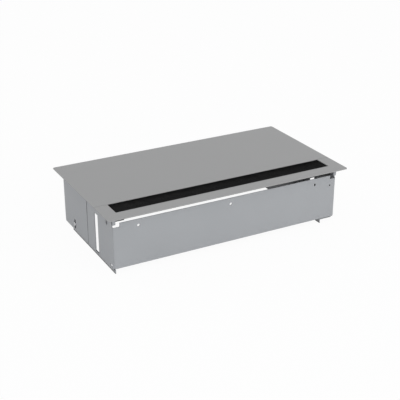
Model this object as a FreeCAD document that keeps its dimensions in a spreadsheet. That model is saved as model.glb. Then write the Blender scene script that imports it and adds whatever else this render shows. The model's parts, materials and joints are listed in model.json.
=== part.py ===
import FreeCAD, Part
import math
import os
import Sketcher
from FreeCAD import Rotation, Vector

# Desktop socket block: a sheet steel box that drops into a desk cut-out, hung from a thin
# flange frame. A flat lid and a strip with a brush slot cover it, and a block of sockets
# stands inside, under the lid. X runs along the desk edge, Y away from the user, Z up.
# The origin is below the middle, on the plane of the two carrier plates' lower edges.

doc = FreeCAD.newDocument("DesktopSocketBlock")
sheet = doc.addObject("Spreadsheet::Sheet", "Sizes")
pieces = {}
cuts = []


class Length:
    """A length in millimetres, with the formula over the sheet's aliases that gives it."""

    def __init__(self, value, formula):
        self.value = value
        self.formula = formula

    def __float__(self):
        return self.value

    def __add__(self, other):
        other = as_length(other)
        return Length(self.value + other.value, f"({self.formula} + {other.formula})")

    def __sub__(self, other):
        other = as_length(other)
        return Length(self.value - other.value, f"({self.formula} - {other.formula})")

    def __mul__(self, factor):
        return Length(self.value * factor, f"({self.formula} * {factor})")

    def __truediv__(self, divisor):
        return Length(self.value / divisor, f"({self.formula} / {divisor})")

    def __neg__(self):
        return Length(-self.value, f"(0 - {self.formula})")


def as_length(number):
    return number if isinstance(number, Length) else Length(float(number), f"({number})")


def size(alias, millimetres):
    """Enter a driving size in the sheet and return it."""
    row = len(sheet.getUsedCells()) // 2 + 1
    sheet.set(f"A{row}", alias)
    sheet.set(f"B{row}", str(millimetres))
    sheet.setAlias(f"B{row}", alias)
    return Length(float(millimetres), f"Sizes.{alias}")


# Cover plates and the gap to the frame below
plate_width = size("plate_width", 500)
plate_depth = size("plate_depth", 276.5)
overall_height = size("overall_height", 114.1)
cover_sheet = size("cover_sheet", 1.5)
cover_corner = size("cover_corner", 4)
cover_gap = size("cover_gap", 1)
strip_depth = size("strip_depth", 65)
slot_end_bar = size("slot_end_bar", 25.5)
strip_bar = size("strip_bar", 27.4)
stack_gap = size("stack_gap", 1.5)
pad_side = size("pad_side", 8)
bumper_clearance = size("bumper_clearance", 0.1)
bumper_inset = size("bumper_inset", 12)

# Flange frame
flange_sheet = size("flange_sheet", 1.2)
flange_inset = size("flange_inset", 5)
flange_rear_inset = size("flange_rear_inset", 2)
flange_overlap = size("flange_overlap", 1.3)
skirt_height = size("skirt_height", 14.3)
tab_width = size("tab_width", 5.6)

# Case: two folded shells, the front one with a side wall welded to each end
case_sheet = size("case_sheet", 1.2)
bend_radius = size("bend_radius", 2)
side_setback = size("side_setback", 14)
front_setback = size("front_setback", 17.5)
rear_setback = size("rear_setback", 19)
panel_drop = size("panel_drop", 16.1)
panel_bottom = size("panel_bottom", 9.9)
shell_return = size("shell_return", 7)
wall_extra = size("wall_extra", 3)
wall_gap = size("wall_gap", 3.5)
notch_width = size("notch_width", 13.4)
notch_height = size("notch_height", 7.4)
bend_relief = size("bend_relief", 0.4)
seam_gap_top = size("seam_gap_top", 2.2)
seam_gap_foot = size("seam_gap_foot", 0.4)
tongue_length = size("tongue_length", 14)
joggle_length = size("joggle_length", 0.7)

# Holes and slots of the case
fixing_radius = size("fixing_radius", 2.5)
fixing_inset = size("fixing_inset", 49.2)
fixing_drop = size("fixing_drop", 12.2)
locating_radius = size("locating_radius", 1.5)
locating_inset = size("locating_inset", 13.4)
locating_drop = size("locating_drop", 20.4)
clamp_slot_width = size("clamp_slot_width", 15)
clamp_slot_gap = size("clamp_slot_gap", 36.5)
clamp_slot_drop = size("clamp_slot_drop", 27)
clamp_slot_lift = size("clamp_slot_lift", 2.6)
relief_slot_length = size("relief_slot_length", 9)
relief_slot_height = size("relief_slot_height", 4)
relief_slot_setback = size("relief_slot_setback", 8)
relief_slot_lift = size("relief_slot_lift", 4)
screw_slot_width = size("screw_slot_width", 6)
screw_slot_height = size("screw_slot_height", 19)
screw_slot_lift = size("screw_slot_lift", 3.6)
screw_slot_inset = size("screw_slot_inset", 53.5)

# Carrier plates
carrier_sheet = size("carrier_sheet", 1.5)
carrier_clearance = size("carrier_clearance", 0.6)
carrier_rear_gap = size("carrier_rear_gap", 34.3)
carrier_drop = size("carrier_drop", 7)
foot_bar_height = size("foot_bar_height", 7)
tall_lead = size("tall_lead", 18.5)
arm_height = size("arm_height", 66)
arm_clearance = size("arm_clearance", 1.5)
carrier_corner = size("carrier_corner", 6)
duct_width = size("duct_width", 29.8)
upright_width = size("upright_width", 15)
upright_drop = size("upright_drop", 25)
carrier_flange = size("carrier_flange", 26)
rear_flange = size("rear_flange", 16)
rear_flange_drop = size("rear_flange_drop", 20)

# Socket block
block_drop = size("block_drop", 16)
block_height = size("block_height", 52)
block_depth = size("block_depth", 46)
block_back_gap = size("block_back_gap", 10.3)
housing_wall = size("housing_wall", 2)
ledge = size("ledge", 1.5)
cap_thickness = size("cap_thickness", 6)
cap_plug = size("cap_plug", 3)
cap_corner = size("cap_corner", 3)
cap_ear_height = size("cap_ear_height", 8)
cap_ear_width = size("cap_ear_width", 16)
face_thickness = size("face_thickness", 3)
fit_clearance = size("fit_clearance", 0.1)
octagon_play = size("octagon_play", 0.25)
well_radius = size("well_radius", 19.5)
well_depth = size("well_depth", 17.5)
well_wall = size("well_wall", 1.2)
well_floor = size("well_floor", 2)
guide_rib_width = size("guide_rib_width", 5.2)
guide_rib_height = size("guide_rib_height", 1.8)
contact_pitch = size("contact_pitch", 19)
contact_hole_radius = size("contact_hole_radius", 2.8)
sleeve_bore = size("sleeve_bore", 4.9)
sleeve_wall = size("sleeve_wall", 0.8)
sleeve_length = size("sleeve_length", 16)
bar_thickness = size("bar_thickness", 1)
bar_height = size("bar_height", 8)
bar_offset = size("bar_offset", 8.5)
clip_width = size("clip_width", 4)
clip_thickness = size("clip_thickness", 0.8)
clip_recess = size("clip_recess", 3.5)
clip_inset = size("clip_inset", 1.1)
clip_slot_clearance = size("clip_slot_clearance", 0.3)
jack_width = size("jack_width", 14.7)
jack_height = size("jack_height", 16.2)
jack_depth = size("jack_depth", 30)
jack_spacing = size("jack_spacing", 21)
port_width = size("port_width", 11.8)
port_height = size("port_height", 8.2)
port_depth = size("port_depth", 12)
latch_width = size("latch_width", 6)
latch_height = size("latch_height", 1.6)

# Mains inlet in the right end cap
inlet_width = size("inlet_width", 20)
inlet_height = size("inlet_height", 34)
inlet_wall = size("inlet_wall", 2)
inlet_stand = size("inlet_stand", 8)
inlet_root = size("inlet_root", 10)
inlet_socket_depth = size("inlet_socket_depth", 13)
inlet_pin_width = size("inlet_pin_width", 4)
inlet_pin_thickness = size("inlet_pin_thickness", 2)
inlet_pin_pitch = size("inlet_pin_pitch", 9)
inlet_pin_length = size("inlet_pin_length", 11)

# Brush and strip fixings
rail_wall = size("rail_wall", 1.2)
rail_depth = size("rail_depth", 7)
rail_height = size("rail_height", 8)
rail_clearance = size("rail_clearance", 0.5)
bristle_clearance = size("bristle_clearance", 0.2)
bristle_reach = size("bristle_reach", 5)
bristle_rise = size("bristle_rise", 8)
bristle_sink = size("bristle_sink", 0.6)
bracket_sheet = size("bracket_sheet", 1.5)
bracket_setback = size("bracket_setback", 18.5)
bracket_length = size("bracket_length", 20)
bracket_leg = size("bracket_leg", 8.8)
bracket_height = size("bracket_height", 24.8)
web_reach = size("web_reach", 34)
web_setback = size("web_setback", 33)
web_drop = size("web_drop", 10)
stud_radius = size("stud_radius", 1.5)
stud_length = size("stud_length", 8)
stud_inset = size("stud_inset", 5.4)
stud_setback = size("stud_setback", 24)
spacer_radius = size("spacer_radius", 3.3)
small_nut_radius = size("small_nut_radius", 3.18)
small_nut_height = size("small_nut_height", 2.4)
bracket_screw_setback = size("bracket_screw_setback", 28)
bracket_screw_drop = size("bracket_screw_drop", 24)

# Screws
screw_radius = size("screw_radius", 1.5)
screw_head_radius = size("screw_head_radius", 2.75)
screw_head_height = size("screw_head_height", 1.6)
bolt_radius = size("bolt_radius", 2)
bolt_head_radius = size("bolt_head_radius", 3.5)
bolt_head_height = size("bolt_head_height", 1.8)
bolt_nut_radius = size("bolt_nut_radius", 4.04)
bolt_nut_height = size("bolt_nut_height", 3.2)
bolt_end = size("bolt_end", 1)
washer_radius = size("washer_radius", 4.5)
washer_thickness = size("washer_thickness", 0.8)

# Lid and hinge
barrel_radius = size("barrel_radius", 1.45)
pin_radius = size("pin_radius", 0.7)
pin_clearance = size("pin_clearance", 0.05)
leaf_sheet = size("leaf_sheet", 0.7)
leaf_gap = size("leaf_gap", 0.1)
leaf_width = size("leaf_width", 16)
leaf_root = size("leaf_root", 0.55)
barrel_relief = size("barrel_relief", 0.15)
hinge_end_gap = size("hinge_end_gap", 10)
knuckle_gap = size("knuckle_gap", 0.3)
stiffener_sheet = size("stiffener_sheet", 1.2)
stiffener_width = size("stiffener_width", 18)
stiffener_height = size("stiffener_height", 12)
stiffener_setback = size("stiffener_setback", 4)
stiffener_end_gap = size("stiffener_end_gap", 11.6)
rib_width = size("rib_width", 22)
rib_crown = size("rib_crown", 10)
rib_height = size("rib_height", 7)
rib_rear_gap = size("rib_rear_gap", 22)
earth_stud_lift = size("earth_stud_lift", 17)
earth_stud_length = size("earth_stud_length", 9)

SOCKETS = 5
DATA_INSERTS = 2
MODULES = SOCKETS + DATA_INSERTS + 1
KNUCKLE_PAIRS = 3
BUMPER_ROWS = 3
STRIP_PADS = 4
RIB_SHARE = 0.24
OVERCUT = 1.0

# Levels and planes that several pieces share
top = overall_height
cover_under = top - cover_sheet
frame_top = cover_under - stack_gap
frame_under = frame_top - flange_sheet
skirt_foot = frame_under - skirt_height
front = -plate_depth / 2
back = plate_depth / 2
cover_side = plate_width / 2
strip_back = front + strip_depth
lid_front = strip_back + cover_gap
slot_front = front + strip_bar
slot_side = cover_side - slot_end_bar
case_front = front + front_setback
case_back = back - rear_setback
case_side = cover_side - side_setback
inner_front = case_front + case_sheet
inner_back = case_back - case_sheet
inner_side = case_side - case_sheet
skirt_side = inner_side - flange_sheet
skirt_back = inner_back - flange_sheet
panel_top = top - panel_drop
wall_top = frame_under - wall_gap
wall_bottom = panel_bottom - wall_extra
bend_outer = bend_radius + case_sheet
bend_end = case_front + bend_outer + bend_relief
weld_line = case_front + shell_return
seam = (case_front + case_back) / 2
tall_front = seam - tall_lead
hinge_y = back - barrel_radius
hinge_z = cover_under - leaf_sheet - leaf_gap / 2
leaf_edge = hinge_y - barrel_radius - barrel_relief
frame_back = hinge_y - barrel_radius - flange_rear_inset
bar_side = (cover_side - flange_inset + skirt_side) / 2
left_carrier_face = -skirt_side + carrier_sheet
right_carrier_face = inner_side - duct_width - carrier_sheet
block_back = inner_back - block_back_gap
block_front = block_back - block_depth
block_top = top - block_drop
block_foot = block_top - block_height
block_middle = (block_top + block_foot) / 2
block_left = left_carrier_face + cap_thickness
block_right = right_carrier_face - cap_thickness
modules_left = block_left + cap_plug
module_pitch = (block_right - cap_plug - modules_left) / MODULES
cap_ear_back = block_back - cap_corner
cap_ear_front = cap_ear_back - cap_ear_width


def bind(thing, name, length):
    """Tie a property or a sketch constraint to the sheet."""
    thing.setExpression(name, as_length(length).formula)


def keep(thing, node):
    """Name a finished piece; its label is its node's name."""
    thing.Label = node
    pieces[node] = thing
    return thing


# Primitives and booleans

def block(name, x, y, z):
    """A box from the low and high place along each axis."""
    solid = doc.addObject("Part::Box", name)
    for edge, axis, (low, high) in (("Length", "x", x), ("Width", "y", y), ("Height", "z", z)):
        bind(solid, edge, as_length(high) - low)
        bind(solid, f"Placement.Base.{axis}", low)
    return solid


TURNS = {
    "x": Rotation(Vector(0, 1, 0), 90),
    "y": Rotation(Vector(1, 0, 0), -90),
    "z": Rotation(),
}


def stand(solid, axis, at):
    solid.Placement.Rotation = TURNS[axis]
    for letter, place in zip("xyz", at):
        bind(solid, f"Placement.Base.{letter}", place)
    return solid


def rod(name, axis, at, radius, length):
    """A cylinder from a point, along an axis."""
    solid = doc.addObject("Part::Cylinder", name)
    bind(solid, "Radius", radius)
    bind(solid, "Height", length)
    return stand(solid, axis, at)


def prism(name, axis, at, radius, length, sides):
    """A regular prism from a point, along an axis."""
    solid = doc.addObject("Part::Prism", name)
    solid.Polygon = sides
    bind(solid, "Circumradius", radius)
    bind(solid, "Height", length)
    return stand(solid, axis, at)


def hexagon(name, axis, at, radius, length):
    return prism(name, axis, at, radius, length, 6)


def octagon(name, axis, at, radius, length):
    """Stands in for a small round hole or shank that repeats."""
    return prism(name, axis, at, radius, length, 8)


def fuse(name, *solids):
    joined = doc.addObject("Part::MultiFuse", name)
    joined.Shapes = list(solids)
    joined.Refine = True
    return joined


def cut(name, base, *tools):
    """Take one or more tools out of a base."""
    tool = tools[0] if len(tools) == 1 else fuse(f"{name}_tools", *tools)
    result = doc.addObject("Part::Cut", name)
    result.Base = base
    result.Tool = tool
    result.Refine = True
    cuts.append((result, base))
    return result


def group(node, solids):
    """Separate like pieces that share one node."""
    joined = doc.addObject("Part::Compound", f"{node}_group")
    joined.Links = list(solids)
    return keep(joined, node)


# Sketches and body features. A sketch lies across an axis, and its pads and pockets run
# along that axis, towards its positive end.

PLANES = {"x": ("YZ_Plane", 1), "y": ("XZ_Plane", -1), "z": ("XY_Plane", 1)}


def new_body(node):
    return keep(doc.addObject("PartDesign::Body", node), node)


def pin_point(sketch, geometry, end, x, y):
    for kind, place in (("DistanceX", x), ("DistanceY", y)):
        place = as_length(place)
        rule = Sketcher.Constraint(kind, -1, 1, geometry, end, place.value)
        bind(sketch, f"Constraints[{sketch.addConstraint(rule)}]", place)


def draw_loop(sketch, points):
    first = sketch.GeometryCount
    corners = [Vector(float(as_length(x)), float(as_length(y)), 0) for x, y in points]
    count = len(corners)
    for index in range(count):
        sketch.addGeometry(Part.LineSegment(corners[index], corners[(index + 1) % count]))
    for index in range(count):
        following = first + (index + 1) % count
        sketch.addConstraint(Sketcher.Constraint("Coincident", first + index, 2, following, 1))
    for index, (x, y) in enumerate(points):
        pin_point(sketch, first + index, 1, x, y)


def draw_circle(sketch, centre, radius):
    x, y = (as_length(place) for place in centre)
    circle = Part.Circle(Vector(x.value, y.value, 0), Vector(0, 0, 1), float(radius))
    geometry = sketch.addGeometry(circle)
    rule = Sketcher.Constraint("Radius", geometry, float(radius))
    bind(sketch, f"Constraints[{sketch.addConstraint(rule)}]", radius)
    pin_point(sketch, geometry, 3, x, y)


def new_sketch(body, name, axis, at, loops=(), circles=()):
    sketch = body.newObject("Sketcher::SketchObject", f"{body.Name}_{name}_sketch")
    role, sign = PLANES[axis]
    plane = next(item for item in body.Origin.OriginFeatures if item.Role == role)
    sketch.AttachmentSupport = [(plane, "")]
    sketch.MapMode = "FlatFace"
    bind(sketch, "AttachmentOffset.Base.z", as_length(at) * sign)
    for points in loops:
        draw_loop(sketch, points)
    for centre, radius in circles:
        draw_circle(sketch, centre, radius)
    return sketch


def pad(body, name, axis, low, high, loops=(), circles=()):
    sketch = new_sketch(body, name, axis, low, loops, circles)
    feature = body.newObject("PartDesign::Pad", f"{body.Name}_{name}")
    feature.Profile = sketch
    feature.Reversed = axis == "y"
    bind(feature, "Length", as_length(high) - low)
    return feature


def pocket(body, name, axis, low, high, loops=(), circles=()):
    base = body.Tip
    sketch = new_sketch(body, name, axis, low, loops, circles)
    feature = body.newObject("PartDesign::Pocket", f"{body.Name}_{name}")
    feature.Profile = sketch
    feature.Reversed = axis != "y"
    bind(feature, "Length", as_length(high) - low)
    cuts.append((feature, base))
    return feature


def edges_along(shape, axis, places):
    """Names of the straight edges along an axis that stand at the given places."""
    along = "xyz".index(axis)
    across = [index for index in range(3) if index != along]
    wanted = [tuple(float(as_length(place)) for place in pair) for pair in places]
    names = []
    for number, edge in enumerate(shape.Edges, start=1):
        if len(edge.Vertexes) != 2:
            continue
        start, end = (vertex.Point for vertex in edge.Vertexes)
        for pair in wanted:
            near = (abs(point[k] - value) < 1e-4
                    for point in (start, end) for k, value in zip(across, pair))
            if all(near):
                names.append(f"Edge{number}")
    return names


def round_edges(body, name, radius, axis, *places):
    doc.recompute()
    base = body.Tip
    feature = body.newObject("PartDesign::Fillet", f"{body.Name}_{name}")
    feature.Base = (base, edges_along(base.Shape, axis, places))
    bind(feature, "Radius", radius)
    return feature


def rectangle(x, y):
    """Corner points from the low and high place along each sketch axis."""
    return [(x[0], y[0]), (x[1], y[0]), (x[1], y[1]), (x[0], y[1])]


def octagon_loop(centre, radius):
    """The corners of an octagon, as a sketch loop."""
    x, y = (as_length(place) for place in centre)
    loop = []
    for turn in range(8):
        angle = math.pi * turn / 4
        loop.append((x + radius * round(math.cos(angle), 12), y + radius * round(math.sin(angle), 12)))
    return loop


def both(side):
    """The same distance to the left and to the right."""
    return (-side, side)


def sorted_span(middle, one, other):
    """Two places either side of a middle, the lower first."""
    return sorted((middle + one, middle + other), key=float)


def mirrored_span(sign, one, other):
    """Two places on the right, or on the left where the sign is -1, the lower first."""
    return sorted((one * sign, other * sign), key=float)


# Flange frame: a flat ring that lies on the desk, with skirts that the shells are welded to

def make_flange_frame():
    body = new_body("flange_frame")
    ring_side = cover_side - flange_inset
    ring_front = front + flange_inset
    opening_front = inner_front + flange_overlap
    outer = rectangle(both(ring_side), (ring_front, frame_back))
    opening = rectangle(both(skirt_side), (opening_front, skirt_back))
    pad(body, "ring", "z", frame_under, frame_top, [outer, opening])
    skirt_end = inner_back - bend_radius
    skirts = [rectangle((inner_side * sign, skirt_side * sign), (inner_front, skirt_end))
              for sign in (-1, 1)]
    pad(body, "side_skirts", "z", skirt_foot, frame_under, skirts)
    rear = rectangle(both(inner_side - bend_radius), (skirt_back, inner_back))
    pad(body, "rear_skirt", "z", skirt_foot, frame_under, [rear])
    tabs = [rectangle((case_side * sign, (case_side - tab_width) * sign), (case_front, inner_front))
            for sign in (-1, 1)]
    pad(body, "front_tabs", "z", skirt_foot, frame_under, tabs)
    round_edges(body, "corners", cover_corner, "z",
                *[(x, y) for x in both(ring_side) for y in (ring_front, frame_back)])
    return body


# Case shells

def fixing_holes():
    """Round holes near the top of each shell's long panel."""
    level = panel_top - fixing_drop
    outer = case_side - fixing_inset
    return [((outer * step, level), fixing_radius) for step in (-1, 0, 1)]


def make_front_shell():
    """The front panel, folded back at both ends, with its corners notched for the bends."""
    body = new_body("front_shell")
    outline = [(-case_side, case_front), (case_side, case_front), (case_side, weld_line),
               (inner_side, weld_line), (inner_side, inner_front), (-inner_side, inner_front),
               (-inner_side, weld_line), (-case_side, weld_line)]
    pad(body, "sheet", "z", wall_bottom, wall_top, [outline])
    round_edges(body, "outer_bends", bend_outer, "z", *[(x, case_front) for x in both(case_side)])
    round_edges(body, "inner_bends", bend_radius, "z", *[(x, inner_front) for x in both(inner_side)])
    beyond = case_side + OVERCUT
    notch_side = case_side - notch_width
    notch_foot = panel_top - notch_height
    above = frame_under + OVERCUT
    top_gap = [(-beyond, above), (-beyond, notch_foot), (-notch_side, notch_foot),
               (-notch_side, panel_top), (notch_side, panel_top), (notch_side, notch_foot),
               (beyond, notch_foot), (beyond, above)]
    foot_gap = rectangle(both(beyond), (wall_bottom - OVERCUT, panel_bottom))
    pocket(body, "panel_edges", "y", case_front - OVERCUT, bend_end, [top_gap, foot_gap])
    locating = ((case_side - locating_inset, panel_top - locating_drop), locating_radius)
    pocket(body, "panel_holes", "y", case_front - OVERCUT, inner_front + OVERCUT,
           circles=fixing_holes() + [locating])
    return body


def bracket_screw_place():
    return (case_front + bracket_screw_setback, top - bracket_screw_drop)


def make_side_wall(node, sign):
    """A wall from the front shell's end to the seam. It stops a little below the flange."""
    body = new_body(node)
    outline = [(weld_line, wall_bottom), (seam - seam_gap_foot, wall_bottom),
               (seam - seam_gap_top, wall_top), (weld_line, wall_top)]
    pad(body, "sheet", "x", *mirrored_span(sign, inner_side, case_side), [outline])
    slot_end = seam - clamp_slot_gap
    clamp_slot = rectangle((slot_end - clamp_slot_width, slot_end),
                           (wall_bottom + clamp_slot_lift, top - clamp_slot_drop))
    relief_start = case_front + relief_slot_setback
    relief_foot = wall_bottom + relief_slot_lift
    relief = rectangle((relief_start, relief_start + relief_slot_length),
                       (relief_foot, relief_foot + relief_slot_height))
    low, high = mirrored_span(sign, inner_side, case_side)
    pocket(body, "openings", "x", low - OVERCUT, high + OVERCUT, [clamp_slot, relief],
           [(bracket_screw_place(), screw_radius)])
    return body


def make_rear_shell():
    """The rear shell's side walls step inwards at the seam, into tongues behind the front shell."""
    body = new_body("rear_shell")
    step = seam + joggle_length
    step_end = step + joggle_length
    tongue = seam - tongue_length
    wall = [(case_side, case_back), (case_side, step), (inner_side, seam), (inner_side, tongue),
            (skirt_side, tongue), (skirt_side, step), (inner_side, step_end),
            (inner_side, inner_back)]
    mirrored = [(-x, y) for x, y in reversed(wall)]
    pad(body, "sheet", "z", wall_bottom, wall_top, [wall + mirrored])
    round_edges(body, "outer_bends", bend_outer, "z", *[(x, case_back) for x in both(case_side)])
    round_edges(body, "inner_bends", bend_radius, "z", *[(x, inner_back) for x in both(inner_side)])
    tongue_top = rectangle((tongue - OVERCUT, step_end),
                           (skirt_foot - fit_clearance, frame_under + OVERCUT))
    slot_middle = case_back - screw_slot_inset
    slot_foot = wall_bottom + screw_slot_lift
    screw_slot = rectangle((slot_middle - screw_slot_width / 2, slot_middle + screw_slot_width / 2),
                           (slot_foot, slot_foot + screw_slot_height))
    pocket(body, "side_slots", "x", -case_side - OVERCUT, case_side + OVERCUT,
           [tongue_top, screw_slot])
    foot_gap = rectangle(both(case_side + OVERCUT), (wall_bottom - OVERCUT, panel_bottom))
    pocket(body, "panel_foot", "y", case_back - bend_outer - bend_relief, case_back + OVERCUT,
           [foot_gap])
    pocket(body, "panel_holes", "y", inner_back - OVERCUT, case_back + OVERCUT,
           circles=fixing_holes())
    return body


# Carrier plates: they hold the socket block, and their long feet reach below the case

def carrier_outline(start, upright):
    """Outline across X: a low foot bar, a tall rear part and an arm to the rear wall."""
    end = inner_back - carrier_rear_gap
    rear = inner_back - arm_clearance
    crest = top - carrier_drop
    points = [(start, 0.0), (end, 0.0), (end, foot_bar_height), (rear, crest - arm_height),
              (rear, crest), (tall_front, crest), (tall_front, foot_bar_height)]
    if upright:
        shoulder = start + upright_width
        head = top - upright_drop
        points += [(shoulder, foot_bar_height), (shoulder, head), (start, head)]
    else:
        points += [(start, foot_bar_height)]
    return points


def cap_screw_places():
    """Middle of each end cap's ears, across X."""
    middle = (cap_ear_front + cap_ear_back) / 2
    return [(middle, block_foot - cap_ear_height / 2), (middle, block_top + cap_ear_height / 2)]


def cap_screw_holes():
    return [octagon_loop(place, screw_radius) for place in cap_screw_places()]


def bolt_place():
    level = wall_bottom + screw_slot_lift + screw_slot_height / 2
    return (case_back - screw_slot_inset, level)


def make_left_carrier():
    body = new_body("carrier_left")
    start = inner_front + carrier_clearance
    faces = (-skirt_side, left_carrier_face)
    pad(body, "plate", "x", *faces, [carrier_outline(start, False)])
    round_edges(body, "foot_corner", carrier_corner, "x", (tall_front, foot_bar_height))
    pocket(body, "holes", "x", faces[0] - OVERCUT, faces[1] + OVERCUT, cap_screw_holes(),
           [(bolt_place(), bolt_radius)])
    return body


def make_right_carrier():
    body = new_body("carrier_right")
    outer_face = right_carrier_face + carrier_sheet
    pad(body, "plate", "x", right_carrier_face, outer_face, [carrier_outline(inner_front, True)])
    shoulder = inner_front + upright_width
    round_edges(body, "foot_corners", carrier_corner, "x",
                (tall_front, foot_bar_height), (shoulder, foot_bar_height))
    head = top - upright_drop
    front_tab = rectangle((outer_face, outer_face + carrier_flange),
                          (inner_front, inner_front + carrier_sheet))
    pad(body, "front_flange", "z", foot_bar_height, head, [front_tab])
    rear = inner_back - arm_clearance
    rear_tab = rectangle((right_carrier_face, outer_face + rear_flange), (rear, inner_back))
    rear_head = top - rear_flange_drop
    pad(body, "rear_flange", "z", top - carrier_drop - arm_height, rear_head, [rear_tab])
    locating = ((case_side - locating_inset, panel_top - locating_drop), locating_radius)
    pocket(body, "locating_hole", "y", inner_front - OVERCUT, inner_front + carrier_sheet + OVERCUT,
           circles=[locating])
    window_y = (inlet_middle() - inlet_width / 2 - fit_clearance,
                inlet_middle() + inlet_width / 2 + fit_clearance)
    window_z = (block_middle - inlet_height / 2 - fit_clearance,
                block_middle + inlet_height / 2 + fit_clearance)
    pocket(body, "window", "x", right_carrier_face - OVERCUT, outer_face + OVERCUT,
           [rectangle(window_y, window_z)] + cap_screw_holes())
    return body


def inlet_middle():
    return (block_front + face_thickness + block_back) / 2


# Front strip with its weld studs, and what fastens it

def make_front_strip():
    body = new_body("front_strip")
    outline = [(-cover_side, front), (cover_side, front), (cover_side, strip_back),
               (slot_side, strip_back), (slot_side, slot_front), (-slot_side, slot_front),
               (-slot_side, strip_back), (-cover_side, strip_back)]
    pad(body, "plate", "z", cover_under, top, [outline])
    round_edges(body, "corners", cover_corner, "z", (-cover_side, front), (cover_side, front))
    studs = [((stud_side() * sign, case_front + stud_setback), stud_radius) for sign in (-1, 1)]
    pad(body, "studs", "z", cover_under - stud_length, cover_under, circles=studs)
    return body


def stud_side():
    return skirt_side - stud_inset


def make_strip_fixings():
    stud_y = case_front + stud_setback
    under_leg = frame_top - bracket_sheet
    hole_radius = stud_radius + octagon_play
    spacers = []
    nuts = []
    for number, sign in enumerate((-1, 1), start=1):
        x = stud_side() * sign
        spacer = hexagon(f"spacer_prism_{number}", "z", (x, stud_y, frame_top), spacer_radius,
                         stack_gap)
        bore = octagon(f"spacer_bore_{number}", "z", (x, stud_y, frame_top), hole_radius, stack_gap)
        spacers.append(cut(f"spacer_{number}", spacer, bore))
        low = under_leg - small_nut_height
        nut = hexagon(f"strip_nut_prism_{number}", "z", (x, stud_y, low), small_nut_radius,
                      small_nut_height)
        thread = octagon(f"strip_nut_thread_{number}", "z", (x, stud_y, low), hole_radius,
                         small_nut_height)
        nuts.append(cut(f"strip_nut_{number}", nut, thread))
    group("strip_spacers", spacers)
    group("strip_nuts", nuts)


def make_bracket(node, sign):
    """Folded bracket on the side skirt: it carries the strip's ear and the brush's end."""
    body = new_body(node)
    start = case_front + bracket_setback
    end = start + bracket_length
    crest = frame_top
    foot = crest - bracket_height - bracket_sheet
    outer = skirt_side * sign
    inner = (skirt_side - bracket_sheet) * sign
    tip = (skirt_side - bracket_leg) * sign
    corner = [(outer, foot), (inner, foot), (inner, crest - bracket_sheet),
              (tip, crest - bracket_sheet), (tip, crest), (outer, crest)]
    pad(body, "angle", "y", start, end, [corner])
    web_y = case_front + web_setback
    web = rectangle((inner, (skirt_side - web_reach) * sign), (foot, top - web_drop))
    pad(body, "web", "y", web_y, web_y + bracket_sheet, [web])
    stud_hole = ((stud_side() * sign, case_front + stud_setback), stud_radius + fit_clearance)
    pocket(body, "stud_hole", "z", crest - bracket_sheet - OVERCUT, crest + OVERCUT,
           circles=[stud_hole])
    low, high = mirrored_span(sign, skirt_side, skirt_side - bracket_sheet)
    pocket(body, "screw_hole", "x", low - OVERCUT, high + OVERCUT,
           circles=[(bracket_screw_place(), screw_radius)])
    return body


def screw(name, at, outward, radius, head_radius, head_height, length, head=rod, shank=rod):
    """A screw along X whose head rests on a face at a point; outward is the head's side."""
    x, y, z = at
    head_low = x if outward > 0 else x - head_height
    shank_low = x - length if outward > 0 else x
    return fuse(name, head(f"{name}_head", "x", (head_low, y, z), head_radius, head_height),
                shank(f"{name}_shank", "x", (shank_low, y, z), radius, length))


def make_case_screws():
    y, z = bracket_screw_place()
    reach = case_sheet + flange_sheet + bracket_sheet
    screws = [screw(f"bracket_screw_{number}", (case_side * sign, y, z), sign,
                    screw_radius, screw_head_radius, screw_head_height, reach)
              for number, sign in enumerate((-1, 1), start=1)]
    group("bracket_screws", screws)

    bolt_y, bolt_z = bolt_place()
    grip = case_sheet + flange_sheet + carrier_sheet
    bolt = screw("carrier_bolt_solid", (-case_side, bolt_y, bolt_z), -1, bolt_radius,
                 bolt_head_radius, bolt_head_height, grip + bolt_nut_height + bolt_end)
    keep(bolt, "carrier_bolt")
    nut = hexagon("carrier_nut_prism", "x", (left_carrier_face, bolt_y, bolt_z),
                  bolt_nut_radius, bolt_nut_height)
    thread = rod("carrier_nut_thread", "x", (left_carrier_face, bolt_y, bolt_z),
                 bolt_radius + fit_clearance, bolt_nut_height)
    keep(cut("carrier_nut_solid", nut, thread), "carrier_nut")
    disc = rod("carrier_washer_disc", "x", (-inner_side, bolt_y, bolt_z), washer_radius,
               flange_sheet)
    bore = octagon("carrier_washer_bore", "x", (-inner_side, bolt_y, bolt_z),
                   bolt_radius + octagon_play, flange_sheet)
    keep(cut("carrier_washer_solid", disc, bore), "carrier_washer")


# Brush: an aluminium channel under the strip's bar grips the bristles, which rise into the slot

def make_brush():
    half = slot_side - rail_clearance
    rail_back = slot_front
    rail_front = rail_back - rail_depth
    rail_foot = cover_under - rail_height
    inner = rail_front + rail_wall
    ceiling = cover_under - rail_wall
    floor = rail_foot + rail_wall
    body = new_body("brush_rail")
    channel = [(rail_front, rail_foot), (rail_back, rail_foot), (rail_back, floor),
               (inner, floor), (inner, ceiling), (rail_back, ceiling), (rail_back, cover_under),
               (rail_front, cover_under)]
    pad(body, "channel", "x", *both(half), [channel])
    bristles = new_body("brush_bristles")
    root = inner + bristle_clearance
    tips = strip_back - bristle_reach
    low = floor + bristle_clearance
    grip = ceiling - bristle_clearance
    crest = top - bristle_sink
    outline = [(root, low), (tips, low), (tips, crest), (rail_back + bristle_rise, crest),
               (rail_back + bristle_clearance, grip), (root, grip)]
    pad(bristles, "row", "x", *both(half), [outline])


# Pads between covers and frame

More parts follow.
